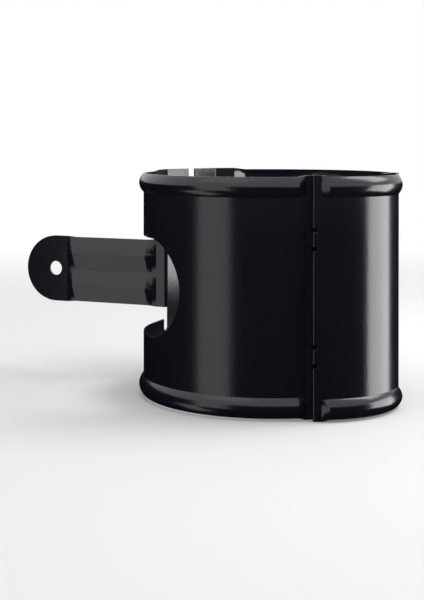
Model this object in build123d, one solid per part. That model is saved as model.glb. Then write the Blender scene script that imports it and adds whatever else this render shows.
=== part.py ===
"""Downpipe clip: a beaded sheet-steel sleeve with a lanced wall arm and a slide-on front cover.

Millimetres, +Z up along the pipe. The origin lies on the pipe axis at the clip's lower edge.
The front, where the cover closes the sleeve, faces -Y; the flat back and the arm face +Y.
"""
import os
from math import atan, atan2, cos, degrees, radians, sin, sqrt

from build123d import *

# Pipe and sheet
pipe_diameter = 87.0
pipe_clearance = 0.2
sheet = 0.8
height = 79.0

# Beads that stiffen the upper and lower edges
bead_height = 6.65
bead_depth = 1.6
bead_draw = 0.55

# Flat back with its screw hole and the two keyhole cuts that let the sleeve flex open
back_half_width = 12.1
back_bend_radius = 1.2
back_runout = 6.0
back_hole_diameter = 6.0
flex_slot_width = 3.2
flex_slot_depth = 7.0
flex_eye_diameter = 5.0

# Front edges of the sleeve, seen from the pipe axis: bead end, plain edge and folded hook
front_bead_end = 29.5
front_plain_start = 26.0
hook_angle = 18.2
hook_reach = 2.4
slide_gap = 0.3

# Arm cut out of the side wall and bent back past the flat
arm_height = 25.0
arm_splay = 27.0
arm_bend_inside = 1.0
arm_root_inset = 0.6
arm_flat_root = 3.0
rib_runout = 3.6
rib_length = 31.5
rib_depth = 2.8
tongue_height = 25.6
tongue_hole_reach = 47.0
tongue_hole_diameter = 5.5

# Window that the arm leaves in the wall, with a relief slot beside the bend
window_margin = 4.2
window_clear_end = 3.4
relief_width = 3.2
relief_depth = 4.5

# Front cover
cover_radius = 29.0
cover_crown = 52.1
cover_half_width = 20.4
cover_bead_runout = 2.5
cover_plain_strip = 2.9
cover_corner_radius = 0.7
cover_lift = 0.2
tab_offset = 18.8
tab_height = 4.7
tab_notch = 1.4

inner_radius = pipe_diameter / 2 + pipe_clearance
outer_radius = inner_radius + sheet
middle = height / 2
far = 2 * outer_radius


def place(radius, azimuth, level=0.0):
    """Point at a radius and an azimuth, which is 0 at the front and positive towards +X."""
    turn = radians(azimuth)
    return Vector(radius * sin(turn), -radius * cos(turn), level)


def wall_section(outer, wall, depth, azimuth):
    """Section of a wall at an azimuth, with both beads standing depth proud of the outer face."""
    low = bead_draw * depth / bead_depth
    high = height - low

    def bead(radius, start, end):
        ends = Vector(radius, 0, start), Vector(radius, 0, end)
        if depth == 0:
            return Line(*ends)
        rise = Vector(0, 0, end - start)
        crown = Vector(radius + depth, 0, (start + end) / 2)
        return Spline(ends[0], crown, ends[1], tangents=(rise, rise))

    inner = outer - wall
    edges = [
        bead(outer, low, low + bead_height),
        Line((outer, 0, low + bead_height), (outer, 0, high - bead_height)),
        bead(outer, high - bead_height, high),
        Line((outer, 0, high), (inner, 0, high)),
        bead(inner, high, high - bead_height),
        Line((inner, 0, high - bead_height), (inner, 0, low + bead_height)),
        bead(inner, low + bead_height, low),
        Line((inner, 0, low), (outer, 0, low)),
    ]
    return Face(Wire(edges)).rotate(Axis.Z, azimuth - 90)


def wall_turn(outer, depth, start, end):
    """Wall turned about the Z axis from one azimuth to another."""
    return revolve(wall_section(outer, sheet, depth, start), Axis.Z, end - start)


def wall_runout(outer, bead_azimuth, plain_azimuth, plain_stretch=1.0):
    """Stretch of wall over which both beads flatten out."""
    beaded = wall_section(outer, sheet, bead_depth, bead_azimuth)
    plain = wall_section(outer * plain_stretch, sheet * plain_stretch, 0, plain_azimuth)
    return loft([beaded, plain], ruled=True)


def ring_piece(inside, outside, start, end, level=0.0, tall=height):
    """Piece of a plain ring between two radii and two azimuths."""
    corners = [(inside, 0, level), (outside, 0, level), (outside, 0, level + tall), (inside, 0, level + tall)]
    section = Face(Polyline(*corners, close=True).wire()).rotate(Axis.Z, start - 90)
    return revolve(section, Axis.Z, end - start)


def prism(points, tall=height, level=0.0):
    """Upright prism on a plan outline."""
    return extrude(Pos(0, 0, level) * make_face(Polyline(*points, close=True)), tall)


def both_sides(piece):
    """A piece and its mirror image across the clip's middle plane."""
    return [piece, mirror(piece, Plane.YZ)]


# Sleeve: beaded sides, the plain back and the plain front edges
tangent_turn = 2 * degrees(atan(back_half_width / outer_radius))
back_bead_end = 180 - tangent_turn
back_plain_start = back_bead_end + back_runout


def back_outline(radius):
    """Plan of the flat back: a corner on each side, tangent to the circle of this radius."""
    corner = back_half_width * radius / outer_radius
    flank = place(radius, back_bead_end)
    points = [(0, 0), (flank.X, flank.Y), (corner, radius), (-corner, radius), (-flank.X, flank.Y)]
    plan = make_face(Polyline(*points, close=True))
    corners = plan.vertices().sort_by(Axis.Y)[-2:]
    bend = back_bend_radius + radius - inner_radius
    return fillet(corners, bend)


def make_back():
    """Flat back between the bead ends, with its screw hole and flex cuts."""
    reach = place(far, back_plain_start)
    sector = prism([(0, 0), (reach.X, reach.Y), (-reach.X, reach.Y)])
    back = extrude(back_outline(outer_radius), height) - extrude(back_outline(inner_radius), height)
    back = back & sector
    wall_axis = Plane((0, outer_radius, 0), x_dir=(1, 0, 0), z_dir=(0, -1, 0))
    cuts = Pos(0, middle) * Circle(back_hole_diameter / 2)
    for edge, eye in ((0, flex_slot_depth), (height, height - flex_slot_depth)):
        cuts += Pos(0, (edge + eye) / 2) * Rectangle(flex_slot_width, flex_slot_depth)
        cuts += Pos(0, eye) * Circle(flex_eye_diameter / 2)
    return back - extrude(wall_axis * cuts, 3 * sheet, both=True)


def make_front_edge():
    """Plain front edge on the +X side, with the outward hook that holds the cover."""
    hook_outside = outer_radius + 2 * slide_gap + 2 * sheet
    flange_turn = degrees(sheet / outer_radius)
    hook_turn = degrees(hook_reach / outer_radius)
    edge = ring_piece(inner_radius, outer_radius, hook_angle, front_plain_start)
    edge += ring_piece(inner_radius, hook_outside, hook_angle, hook_angle + flange_turn)
    edge += ring_piece(hook_outside - sheet, hook_outside, hook_angle, hook_angle + hook_turn)
    return edge


# Arm: frame of its flat sheet, with X along the arm, Y up and Z towards the wall
arm_root = back_half_width - arm_root_inset
bend_centre = Vector(-arm_root, outer_radius + arm_bend_inside, middle)
arm_way = Vector(-sin(radians(arm_splay)), cos(radians(arm_splay)), 0)
arm_back = Vector(arm_way.Y, -arm_way.X, 0)
arm_start = bend_centre - arm_back * (arm_bend_inside + sheet / 2)
arm_plane = Plane(arm_start, x_dir=arm_way, z_dir=arm_back)
rib_end = arm_flat_root + 2 * rib_runout + rib_length


def arm_section(reach, tall, depth):
    """Zigzag section of the arm, whose two ribs stand depth towards the front."""
    line = [(tall / 2, 0), (tall / 4, -depth), (0, 0), (-tall / 4, -depth), (-tall / 2, 0)]
    front = [(reach, y, z - sheet / 2) for y, z in line]
    back = [(reach, y, z + sheet / 2) for y, z in reversed(line)]
    return Face(Polyline(*front, *back, close=True).wire())


def make_arm():
    """Arm from the bend at the back's edge to its round tongue with a fixing hole."""
    root = Plane((-arm_root, inner_radius + sheet / 2, middle), x_dir=(0, 1, 0), z_dir=(-1, 0, 0))
    bend = revolve(root * Rectangle(sheet, tongue_height), Axis(bend_centre, (0, 0, 1)), arm_splay - 90)
    sections = [
        arm_section(arm_flat_root, tongue_height, 0),
        arm_section(arm_flat_root + rib_runout, arm_height, rib_depth),
        arm_section(rib_end - rib_runout, arm_height, rib_depth),
        arm_section(rib_end, tongue_height, 0),
    ]
    ribbed = loft(sections, ruled=True)
    stem = Pos(arm_flat_root / 2, 0) * Rectangle(arm_flat_root, tongue_height)
    tongue_run = tongue_hole_reach - rib_end
    tongue = Pos(rib_end + tongue_run / 2, 0) * Rectangle(tongue_run, tongue_height)
    tongue += Pos(tongue_hole_reach, 0) * Circle(tongue_height / 2)
    tongue -= Pos(tongue_hole_reach, 0) * Circle(tongue_hole_diameter / 2)
    flats = extrude(stem, sheet / 2, both=True) + extrude(tongue, sheet / 2, both=True)
    return bend + arm_plane * (ribbed + flats)


def make_window():
    """Tool that clears the window in the -X wall, where the arm was cut from."""
    half = tongue_height / 2 + window_margin
    blank = tongue_hole_reach + tongue_height / 2 + window_clear_end
    flank_angle = degrees(atan2(arm_root, outer_radius))
    end_azimuth = flank_angle + degrees((blank - half) / outer_radius) - 180
    end = place(far, end_azimuth)
    round_plane = Plane((0, 0, middle), x_dir=(0, 0, 1), z_dir=end)
    tool = extrude(round_plane * Circle(half), far)
    plan = [(-arm_root, 0), (end.X, end.Y), (-far, far), (-arm_root, far)]
    tool += prism(plan, 2 * half, middle - half)
    slot_plane = Plane((-arm_root - relief_width / 2, 0, middle), x_dir=(0, 0, 1), z_dir=(0, 1, 0))
    tool += extrude(slot_plane * SlotOverall(2 * (half + relief_depth), relief_width), far)
    return tool


def make_sleeve():
    """Sleeve and arm, one piece of sheet."""
    side = wall_turn(outer_radius, bead_depth, front_bead_end, back_bead_end)
    side += wall_runout(outer_radius, front_bead_end, front_plain_start)
    side += wall_runout(outer_radius, back_bead_end, back_plain_start, 1 / cos(radians(back_runout)))
    side += make_front_edge()
    sleeve = make_back()
    for half in both_sides(side):
        sleeve += half
    return sleeve - make_window() + make_arm()


# Cover: its wall turns about an axis of its own, ahead of the pipe axis
cover_centre = cover_crown - cover_radius
cover_half_angle = degrees(atan2(cover_half_width, sqrt(cover_radius ** 2 - cover_half_width ** 2)))
cover_plain_half_angle = cover_half_angle - degrees(cover_plain_strip / cover_radius)
cover_bead_half_angle = cover_plain_half_angle - degrees(cover_bead_runout / cover_radius)
cover_corner = place(cover_radius, cover_half_angle) - Vector(0, cover_centre, 0)
lip_foot_radius = outer_radius + slide_gap
lip_inward = place(-1, cover_half_angle)
lip_along = place(-1, cover_half_angle + 90)


def lip_outline(start, end, inside, outside):
    """Plan of a strip beside the +X lip, from start to end along it and between two offsets."""
    points = []
    for run, offset in ((start, outside), (end, outside), (end, inside), (start, inside)):
        point = cover_corner + lip_inward * run + lip_along * offset
        points.append((point.X, point.Y))
    return points


def make_cover_side():
    """+X edge of the cover: bead ends, plain strip, return lip and hooked tabs."""
    side = wall_runout(cover_radius, cover_bead_half_angle, cover_plain_half_angle)
    side += wall_turn(cover_radius, 0, cover_plain_half_angle, cover_half_angle)
    side = Pos(0, -cover_centre) * side
    run = cover_corner.dot(lip_inward)
    lip_length = -run - sqrt(run ** 2 - cover_corner.dot(cover_corner) + lip_foot_radius ** 2)
    lip = prism(lip_outline(0, lip_length + sheet, sheet, 0))
    side += lip - Cylinder(lip_foot_radius, height, align=(Align.CENTER, Align.CENTER, Align.MIN))
    bend = side.edges().filter_by(Axis.Z).sort_by(Axis.X)[-1]
    side = fillet(bend, cover_corner_radius)
    tab_start = hook_angle + degrees((sheet + slide_gap) / outer_radius)
    foot = cover_corner + lip_inward * lip_length + lip_along * (sheet / 2)
    tab_end = degrees(atan2(foot.X, -foot.Y))
    notch = lip_outline(-sheet, lip_length + sheet, 2 * sheet, -sheet)
    for level in (middle - tab_offset, middle + tab_offset):
        low = level - tab_height / 2
        side += ring_piece(lip_foot_radius, lip_foot_radius + sheet, tab_start, tab_end, low, tab_height)
        side -= prism(notch, tab_notch, low - tab_notch)
        side -= prism(notch, tab_notch, low + tab_height)
    return side


def make_cover():
    """Beaded cover with an edge on each side, held just off the floor."""
    face_turn = cover_bead_half_angle
    cover = Pos(0, -cover_centre) * wall_turn(cover_radius, bead_depth, -face_turn, face_turn)
    for side in both_sides(make_cover_side()):
        cover += side
    return Pos(0, 0, cover_lift) * cover


os.makedirs("parts", exist_ok=True)
export_step(make_sleeve(), "parts/sleeve.step")
export_step(make_cover(), "parts/front_cover.step")
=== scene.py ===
"""Looks of a downpipe clip: black powder-coated sheet steel in a plain pale studio.

Metres, in the part's own frame: +Z runs up the pipe, the cover faces -Y, the flat back and the arm face +Y.
"""

from dataclasses import dataclass
from math import atan2, cos, pi, radians, sin

import bmesh
import bpy
from bpy.props import FloatProperty, FloatVectorProperty, PointerProperty
from mathutils import Matrix, Vector


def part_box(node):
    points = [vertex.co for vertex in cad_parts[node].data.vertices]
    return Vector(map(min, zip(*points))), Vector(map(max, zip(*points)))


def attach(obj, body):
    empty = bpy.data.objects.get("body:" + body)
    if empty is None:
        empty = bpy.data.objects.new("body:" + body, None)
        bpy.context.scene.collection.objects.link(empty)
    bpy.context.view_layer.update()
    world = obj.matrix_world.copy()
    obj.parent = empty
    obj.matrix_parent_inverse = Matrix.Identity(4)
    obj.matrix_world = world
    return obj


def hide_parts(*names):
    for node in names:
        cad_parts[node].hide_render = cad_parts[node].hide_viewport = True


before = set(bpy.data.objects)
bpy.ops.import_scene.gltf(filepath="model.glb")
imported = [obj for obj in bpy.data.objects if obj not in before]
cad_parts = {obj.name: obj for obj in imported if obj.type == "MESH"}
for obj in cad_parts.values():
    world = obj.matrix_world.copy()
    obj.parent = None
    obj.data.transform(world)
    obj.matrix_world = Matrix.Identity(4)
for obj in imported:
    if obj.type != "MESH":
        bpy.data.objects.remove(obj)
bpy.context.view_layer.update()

bl_info = {
    "name": "Downpipe clip",
    "version": (1, 0, 0),
    "blender": (4, 5, 0),
    "location": "3D View > Sidebar > Clip",
    "description": "Coats a sheet-steel downpipe clip and sets it in a plain studio",
    "category": "Object",
}

# Sheet and beads, as the solids have them; a bead's foot stands in from the rim by its draw
sheet_thickness = 0.0008
bead_height = 0.00665
bead_draw = 0.00055

# Beads end within their limit from the rim, and edges on them that rise further than a step are split
bead_limit = 0.0074
bead_step = 0.0003

# Points closer than the weld are one, and edges shorter than a sliver go
weld_distance = 1e-6
sliver_length = 1e-7

# Behind this Y there is only the arm
arm_start_y = 0.0464


class ClipCoat(bpy.types.PropertyGroup):
    """Powder coat on the sheet."""

    dark: FloatVectorProperty(
        name="Dark tone",
        description="Darker of the coat's two tones",
        subtype="COLOR",
        size=4,
        default=(0.0032, 0.0042, 0.0072, 1.0),
    )
    pale: FloatVectorProperty(
        name="Pale tone",
        description="Paler of the coat's two tones",
        subtype="COLOR",
        size=4,
        default=(0.0054, 0.007, 0.0115, 1.0),
    )
    roughness: FloatProperty(
        name="Roughness",
        description="Mean roughness of the coat",
        subtype="FACTOR",
        default=0.2,
    )
    roughness_spread: FloatProperty(
        name="Roughness spread",
        description="How far the roughness wanders over the sheet",
        subtype="FACTOR",
        default=0.1,
    )
    gloss: FloatProperty(
        name="Gloss",
        description="Specular level of the coat",
        subtype="FACTOR",
        default=0.65,
    )
    cloud_count: FloatProperty(
        name="Gloss clouds",
        description="Number of gloss clouds in a metre of sheet",
        default=55.0,
    )
    grain_count: FloatProperty(
        name="Tone specks",
        description="Number of specks of the two tones in a metre of sheet",
        default=2600.0,
    )
    peel_size: FloatProperty(
        name="Peel size",
        description="Width of one dimple in the coat's orange peel",
        unit="LENGTH",
        default=0.0009,
    )
    peel_depth: FloatProperty(
        name="Peel depth",
        description="Depth of the orange peel",
        unit="LENGTH",
        default=0.000028,
    )
    edge_radius: FloatProperty(
        name="Edge radius",
        description="Rounding that the coat gives to cut edges",
        unit="LENGTH",
        default=0.0002,
    )
    crease_angle: FloatProperty(
        name="Crease angle",
        description="Faces that meet at more than this keep a sharp edge",
        subtype="ANGLE",
        default=radians(18),
    )
    bead_depth: FloatProperty(
        name="Bead depth",
        description="How far the beads stand proud of the wall",
        unit="LENGTH",
        default=0.0016,
    )
    bead_fullness: FloatProperty(
        name="Bead fullness",
        description="Power of the beads' sine profile: less makes the crown fuller",
        subtype="FACTOR",
        default=0.8,
    )


class ClipStudio(bpy.types.PropertyGroup):
    """Floor, light and camera round the clip."""

    floor_colour: FloatVectorProperty(
        name="Floor colour",
        description="Colour of the floor",
        subtype="COLOR",
        size=4,
        default=(0.9, 0.9, 0.9, 1.0),
    )
    floor_reach: FloatProperty(
        name="Floor reach",
        description="Distance at which the floor has faded into the background",
        unit="LENGTH",
        default=0.6,
    )
    world_level: FloatProperty(
        name="World level",
        description="Strength of the light from all round",
        default=0.72,
    )
    card_colour: FloatVectorProperty(
        name="Card colour",
        description="Colour of the dark cards that stand round the clip",
        subtype="COLOR",
        size=4,
        default=(0.003, 0.004, 0.007, 1.0),
    )
    card_distance: FloatProperty(
        name="Card distance",
        description="Distance of the dark cards from the pipe axis",
        unit="LENGTH",
        default=0.33,
    )
    side_glow: FloatProperty(
        name="Side glow",
        description="Brightness of the lamps on the right",
        default=4.5,
    )
    top_glow: FloatProperty(
        name="Top glow",
        description="Brightness of the soft top lamp",
        default=0.4,
    )
    camera_azimuth: FloatProperty(
        name="Camera azimuth",
        description="Where the camera stands, from the cover's front towards +X",
        subtype="ANGLE",
        default=radians(-42.1),
    )
    camera_distance: FloatProperty(
        name="Camera distance",
        description="Distance of the camera from the pipe axis",
        unit="LENGTH",
        default=0.44375,
    )
    camera_height: FloatProperty(
        name="Camera height",
        description="Height of the camera above the floor",
        unit="LENGTH",
        default=0.0928,
    )
    camera_yaw: FloatProperty(
        name="Camera yaw",
        description="Turn of the camera to the left of the pipe axis",
        subtype="ANGLE",
        default=radians(2.595),
    )
    camera_dip: FloatProperty(
        name="Camera dip",
        description="Tilt of the camera below the horizon",
        subtype="ANGLE",
        default=radians(0.43),
    )
    camera_lens: FloatProperty(
        name="Lens",
        description="Focal length for a sensor 36 mm high",
        subtype="DISTANCE_CAMERA",
        default=74.42,
    )
    camera_shift: FloatProperty(
        name="Lens shift",
        description="Vertical shift of the lens, in picture heights",
        default=-0.2635,
    )


class Shade:
    """Output of a node; Python's operators on it add Math nodes."""

    def __init__(self, tree, socket=None):
        self.tree = tree
        self.socket = socket

    def node(self, kind, settings=None, sockets=None, out=0):
        """Add a node, set it up, fill or link its sockets, and wrap one of its outputs."""
        made = self.tree.nodes.new(kind)
        for name, value in (settings or {}).items():
            setattr(made, name, value)
        for key, value in (sockets or {}).items():
            if isinstance(value, Shade):
                self.tree.links.new(value.socket, made.inputs[key])
            else:
                made.inputs[key].default_value = value
        return Shade(self.tree, made.outputs[out])

    def into(self, socket):
        """Link this output to a socket of a node that is there already."""
        self.tree.links.new(self.socket, socket)

    def maths(self, operation, first, second):
        """Math node on two values."""
        return self.node("ShaderNodeMath", {"operation": operation}, {0: first, 1: second})

    def __add__(self, other):
        return self.maths("ADD", self, other)

    __radd__ = __add__

    def __sub__(self, other):
        return self.maths("SUBTRACT", self, other)

    def __rsub__(self, other):
        return self.maths("SUBTRACT", other, self)

    def __mul__(self, other):
        return self.maths("MULTIPLY", self, other)

    __rmul__ = __mul__


def black_coat():
    """Black powder coat: two close tones, a wandering gloss, orange peel and softened edges."""
    known = bpy.data.materials.get("black_coat_finish")
    if known:
        return known
    coat = bpy.context.scene.clip_coat
    material = bpy.data.materials.new("black_coat_finish")
    material.use_nodes = True
    surface = material.node_tree.nodes["Principled BSDF"]
    shade = Shade(material.node_tree)
    spot = shade.node("ShaderNodeTexCoord", out="Object")
    clouds = {"Vector": spot, "Scale": coat.cloud_count, "Detail": 3.0}
    cloud = shade.node("ShaderNodeTexNoise", None, clouds)
    grains = {"Vector": spot, "Scale": coat.grain_count, "Detail": 1.0}
    grain = shade.node("ShaderNodeTexNoise", None, grains)
    dimples = {"Vector": spot, "Scale": 1 / coat.peel_size, "Detail": 1.5}
    peel = shade.node("ShaderNodeTexNoise", None, dimples)
    tones = {0: grain, 6: coat.dark[:], 7: coat.pale[:]}
    tone = shade.node("ShaderNodeMix", {"data_type": "RGBA"}, tones, out=2)
    tone.into(surface.inputs["Base Color"])
    roughness = (cloud - 0.5) * coat.roughness_spread + coat.roughness
    roughness.into(surface.inputs["Roughness"])
    edge = shade.node("ShaderNodeBevel", {"samples": 8}, {"Radius": coat.edge_radius})
    bump = {"Strength": 1.0, "Distance": coat.peel_depth, "Height": peel, "Normal": edge}
    shade.node("ShaderNodeBump", None, bump).into(surface.inputs["Normal"])
    surface.inputs["Specular IOR Level"].default_value = coat.gloss
    return material


@dataclass
class BeadedWall:
    """Turned wall with a bead along each rim; azimuths run from its front, alike on both sides."""

    node: str
    axis_y: float
    radius: float
    start: float
    start_runout: float
    end: float
    end_runout: float
    tangent_end: bool

    def bead_share(self, azimuth):
        """Share of its full depth that a bead has at an azimuth, 0 where it has run out."""
        rising = (azimuth - self.start) / self.start_runout
        falling = 1 - (azimuth - self.end) / self.end_runout
        return min(1, max(0, min(rising, falling)))


sleeve_wall = BeadedWall(
    node="sleeve",
    axis_y=0.0,
    radius=0.0445,
    start=radians(26.0),
    start_runout=radians(3.5),
    end=radians(149.58),
    end_runout=radians(6.0),
    tangent_end=True,
)

# The cover's beads cross its front, so their start lies past the middle
cover_runout = radians(4.94)
cover_wall = BeadedWall(
    node="front_cover",
    axis_y=-0.0231,
    radius=0.029,
    start=-cover_runout,
    start_runout=cover_runout,
    end=radians(34.03),
    end_runout=cover_runout,
    tangent_end=False,
)


def rim_distance(point, rims):
    """Distance in height from the lower or the upper rim, whichever is nearer."""
    low, high = rims
    return min(point.z - low, high - point.z)


def round_beads(shape, wall):
    """Give the beads of a turned wall the full, round crown of a rolled bead."""
    coat = bpy.context.scene.clip_coat
    rims = [corner.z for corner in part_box(wall.node)]
    flanks = []
    for edge in shape.edges:
        rise = abs(edge.verts[0].co.z - edge.verts[1].co.z)
        depth = max(rim_distance(vert.co, rims) for vert in edge.verts)
        if rise > bead_step and depth < bead_limit:
            flanks.append(edge)
    bmesh.ops.subdivide_edges(shape, edges=flanks, cuts=1, use_grid_fill=True)
    bmesh.ops.triangulate(shape, faces=[face for face in shape.faces if len(face.verts) > 3])
    shape.normal_update()
    for vert in shape.verts:
        spoke = Vector((vert.co.x, vert.co.y - wall.axis_y, 0))
        outward = spoke.normalized()
        azimuth = abs(atan2(spoke.x, -spoke.y))
        share = wall.bead_share(azimuth)
        climb = (rim_distance(vert.co, rims) - bead_draw * share) / bead_height
        if share == 0 or not 0 < climb < 1:
            continue
        plain = wall.radius if vert.normal.dot(outward) > 0 else wall.radius - sheet_thickness
        if wall.tangent_end and azimuth > wall.end:
            plain /= cos(azimuth - wall.end)
        proud = coat.bead_depth * share * sin(pi * climb) ** coat.bead_fullness
        vert.co += outward * (plain + proud - spoke.length)


def crease_folds(mesh):
    """Drop the solids' stored normals, then crease the folds and every facet of the arm."""
    if "custom_normal" in mesh.attributes:
        mesh.attributes.remove(mesh.attributes["custom_normal"])
    mesh.set_sharp_from_angle(angle=bpy.context.scene.clip_coat.crease_angle)
    for edge in mesh.edges:
        if min(mesh.vertices[index].co.y for index in edge.vertices) > arm_start_y:
            edge.use_edge_sharp = True


def coated_sheet(wall, name, body):
    """Coated copy of a CAD node with round beads and clean creases, shown in the node's place."""
    shape = bmesh.new()
    shape.from_mesh(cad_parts[wall.node].data)
    bmesh.ops.remove_doubles(shape, verts=shape.verts, dist=weld_distance)
    bmesh.ops.dissolve_degenerate(shape, edges=shape.edges, dist=sliver_length)
    round_beads(shape, wall)
    for face in shape.faces:
        face.smooth = True
    mesh = bpy.data.meshes.new(name)
    shape.to_mesh(mesh)
    shape.free()
    crease_folds(mesh)
    mesh.materials.append(black_coat())
    piece = bpy.data.objects.new(name, mesh)
    bpy.context.scene.collection.objects.link(piece)
    flats = piece.modifiers.new("even_flats", "WEIGHTED_NORMAL")
    flats.keep_sharp = True
    flats.weight = 80
    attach(piece, body)
    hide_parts(wall.node)


class CLIP_OT_sleeve(bpy.types.Operator):
    """Coat the sleeve with its flat back and lanced arm"""

    bl_idname = "clip.sleeve"
    bl_label = "Sleeve and arm"

    def execute(self, context):
        coated_sheet(sleeve_wall, "sleeve_sheet", "clip")
        return {"FINISHED"}


class CLIP_OT_cover(bpy.types.Operator):
    """Coat the slide-on front cover"""

    bl_idname = "clip.cover"
    bl_label = "Front cover"

    def execute(self, context):
        coated_sheet(cover_wall, "cover_sheet", "cover")
        return {"FINISHED"}


def compass(azimuth, radius, height):
    """Point at an azimuth from the cover's front towards +X."""
    return Vector((radius * sin(azimuth), -radius * cos(azimuth), height))


def stage_mesh(name, shape, material):
    """Stage object from a bmesh."""
    mesh = bpy.data.meshes.new(name)
    shape.to_mesh(mesh)
    shape.free()
    mesh.materials.append(material)
    thing = bpy.data.objects.new(name, mesh)
    bpy.context.scene.collection.objects.link(thing)
    return thing


def floor_material(studio):
    """Pale floor that fades into the background away from the clip."""
    material = bpy.data.materials.new("pale_floor")
    material.use_nodes = True
    surface = material.node_tree.nodes["Principled BSDF"]
    surface.inputs["Base Color"].default_value = studio.floor_colour
    surface.inputs["Roughness"].default_value = 1.0
    surface.inputs["Specular IOR Level"].default_value = 0.0
    shade = Shade(material.node_tree)
    spot = shade.node("ShaderNodeTexCoord", out="Object")
    distance = shade.node("ShaderNodeVectorMath", {"operation": "LENGTH"}, {0: spot}, "Value")
    fade_start = 0.3 * studio.floor_reach
    span = {"Value": distance, "From Min": fade_start, "From Max": studio.floor_reach}
    fade = shade.node("ShaderNodeMapRange", {"interpolation_type": "SMOOTHSTEP"}, span)
    clear = shade.node("ShaderNodeBsdfTransparent")
    paint = Shade(material.node_tree, surface.outputs[0])
    mixed = shade.node("ShaderNodeMixShader", None, {0: fade, 1: paint, 2: clear})
    mixed.into(material.node_tree.nodes["Material Output"].inputs["Surface"])
    return material


def add_floor(studio):
    """Flat floor, a little wider than its fade, that gloss doesn't see."""
    shape = bmesh.new()
    half_width = 1.2 * studio.floor_reach
    bmesh.ops.create_grid(shape, x_segments=1, y_segments=1, size=half_width)
    floor = stage_mesh("floor", shape, floor_material(studio))
    floor.visible_glossy = False


def card_material(studio):
    """Matt black card."""
    material = bpy.data.materials.new("black_card")
    material.use_nodes = True
    surface = material.node_tree.nodes["Principled BSDF"]
    surface.inputs["Base Color"].default_value = studio.card_colour
    surface.inputs["Roughness"].default_value = 1.0
    surface.inputs["Specular IOR Level"].default_value = 0.0
    return material


def add_card(name, material, profile, start, end):
    """Dark card that only gloss sees: a profile of radii and heights, bent between two azimuths."""
    shape = bmesh.new()
    points = [shape.verts.new(compass(start, radius, height)) for radius, height in profile]
    edges = [shape.edges.new(pair) for pair in zip(points, points[1:])]
    bmesh.ops.spin(
        shape,
        geom=points + edges,
        axis=(0, 0, 1),
        cent=(0, 0, 0),
        angle=end - start,
        steps=48,
        use_duplicate=False,
    )
    bmesh.ops.remove_doubles(shape, verts=shape.verts, dist=weld_distance)
    card = stage_mesh(name, shape, material)
    card.visible_camera = False
    card.visible_diffuse = False
    card.visible_transmission = False
    card.visible_shadow = False


def add_cards(studio):
    """Dark cards round and below the clip, with openings on the left and for the side lamp."""
    material = card_material(studio)
    wall = studio.card_distance
    low, sill, high = -0.3, -0.12, 0.1
    disc_edge = 0.75 * wall
    full = [(0, low), (wall, low), (wall, high)]
    foot = [(0, low), (wall, low), (wall, sill)]
    rail = [(wall, sill), (wall, high)]
    disc = [(0, low), (disc_edge, low)]
    front = studio.camera_azimuth
    # Azimuths in degrees from the camera, turning towards the right
    front_start, side_start, side_end = -32, 70, 112
    left_start, left_middle, left_end = 275, 298.5, 328
    cards = (
        ("front_card", full, front_start, side_start),
        ("side_foot_card", foot, side_start, side_end),
        ("rear_card", full, side_end, left_start),
        ("left_rail_card", rail, left_start, left_middle),
        ("left_disc_card", disc, left_start, left_middle),
        ("left_foot_card", foot, left_middle, left_end),
    )
    for name, profile, start, end in cards:
        add_card(name, material, profile, front + radians(start), front + radians(end))


def add_lamp(name, place, target, width, height, glow):
    """Soft rectangular lamp of a given brightness, facing a point."""
    lamp = bpy.data.lights.new(name, "AREA")
    lamp.shape = "RECTANGLE"
    lamp.size = width
    lamp.size_y = height
    lamp.energy = glow * pi * width * height
    holder = bpy.data.objects.new(name, lamp)
    holder.location = place
    holder.rotation_euler = (Vector(target) - place).to_track_quat("-Z", "Y").to_euler()
    holder.visible_camera = False
    bpy.context.scene.collection.objects.link(holder)


def add_lamps(studio):
    """Two lamps on the right, a small one inside that lights the flat back, and a soft one above."""
    front = studio.camera_azimuth
    add_lamp(
        "side_lamp",
        place=compass(front + radians(91), radius=0.35, height=0.0),
        target=(0, 0, 0),
        width=0.26,
        height=0.24,
        glow=studio.side_glow,
    )
    add_lamp(
        "shoulder_lamp",
        place=compass(front + radians(97), radius=0.294, height=0.377),
        target=(0.02, -0.04, 0.07),
        width=0.22,
        height=0.3,
        glow=studio.side_glow,
    )
    add_lamp(
        "inside_lamp",
        place=Vector((0.0375, -0.0155, 0.052)),
        target=(-0.008, 0.0437, 0.052),
        width=0.04,
        height=0.05,
        glow=1.6 * studio.side_glow,
    )
    add_lamp(
        "top_lamp",
        place=compass(front - radians(50), radius=0.45, height=0.7),
        target=(0, 0, 0.04),
        width=0.5,
        height=0.5,
        glow=studio.top_glow,
    )


def set_world(studio):
    """White world: full strength to the camera, gloss and glass, a little less where it lights things."""
    world = bpy.data.worlds.new("studio_world")
    world.use_nodes = True
    bpy.context.scene.world = world
    sky = world.node_tree.nodes["Background"]
    sky.inputs["Color"].default_value = (1.0, 1.0, 1.0, 1.0)
    shade = Shade(world.node_tree)
    camera = shade.node("ShaderNodeLightPath", out="Is Camera Ray")
    glossy = shade.node("ShaderNodeLightPath", out="Is Glossy Ray")
    clear = shade.node("ShaderNodeLightPath", out="Is Transmission Ray")
    seen = shade.maths("MAXIMUM", shade.maths("MAXIMUM", camera, glossy), clear)
    (seen * (1 - studio.world_level) + studio.world_level).into(sky.inputs["Strength"])


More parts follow.
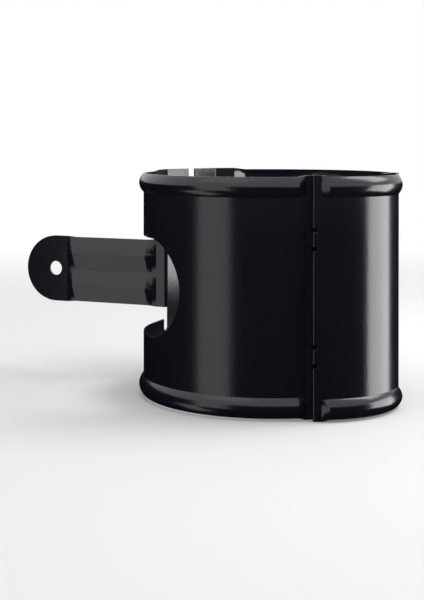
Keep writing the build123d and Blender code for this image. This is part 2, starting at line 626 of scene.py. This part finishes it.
def set_camera(studio):
    """Camera at the photograph's place, level but for a slight dip, with the lens shifted down."""
    lens = bpy.data.cameras.new("camera")
    lens.sensor_fit = "VERTICAL"
    lens.sensor_height = 36.0
    lens.lens = studio.camera_lens
    lens.shift_y = studio.camera_shift
    camera = bpy.data.objects.new("camera", lens)
    place = compass(studio.camera_azimuth, studio.camera_distance, studio.camera_height)
    heading = Vector((-place.x, -place.y, 0)).normalized()
    heading = Matrix.Rotation(studio.camera_yaw, 3, "Z") @ heading
    heading = heading * cos(studio.camera_dip) - Vector((0, 0, sin(studio.camera_dip)))
    camera.location = place
    camera.rotation_euler = heading.to_track_quat("-Z", "Y").to_euler()
    bpy.context.scene.collection.objects.link(camera)
    bpy.context.scene.camera = camera


class CLIP_OT_studio(bpy.types.Operator):
    """Set the floor, the light, the dark cards and the camera"""

    bl_idname = "clip.studio"
    bl_label = "Studio"

    def execute(self, context):
        studio = context.scene.clip_studio
        context.scene.view_settings.view_transform = "Standard"
        add_floor(studio)
        add_cards(studio)
        add_lamps(studio)
        set_world(studio)
        set_camera(studio)
        return {"FINISHED"}


class CLIP_PT_panel(bpy.types.Panel):
    """Lists the clip's pieces and its studio"""

    bl_idname = "CLIP_PT_panel"
    bl_label = "Downpipe clip"
    bl_space_type = "VIEW_3D"
    bl_region_type = "UI"
    bl_category = "Clip"

    def draw(self, context):
        for operator in (CLIP_OT_sleeve, CLIP_OT_cover, CLIP_OT_studio):
            self.layout.operator(operator.bl_idname)


classes = (ClipCoat, ClipStudio, CLIP_OT_sleeve, CLIP_OT_cover, CLIP_OT_studio, CLIP_PT_panel)


def register():
    for kind in classes:
        bpy.utils.register_class(kind)
    bpy.types.Scene.clip_coat = PointerProperty(type=ClipCoat)
    bpy.types.Scene.clip_studio = PointerProperty(type=ClipStudio)


def unregister():
    del bpy.types.Scene.clip_studio
    del bpy.types.Scene.clip_coat
    for kind in reversed(classes):
        bpy.utils.unregister_class(kind)


def main():
    register()
    bpy.ops.clip.sleeve()
    bpy.ops.clip.cover()
    bpy.ops.clip.studio()


if __name__ == "__main__":
    main()
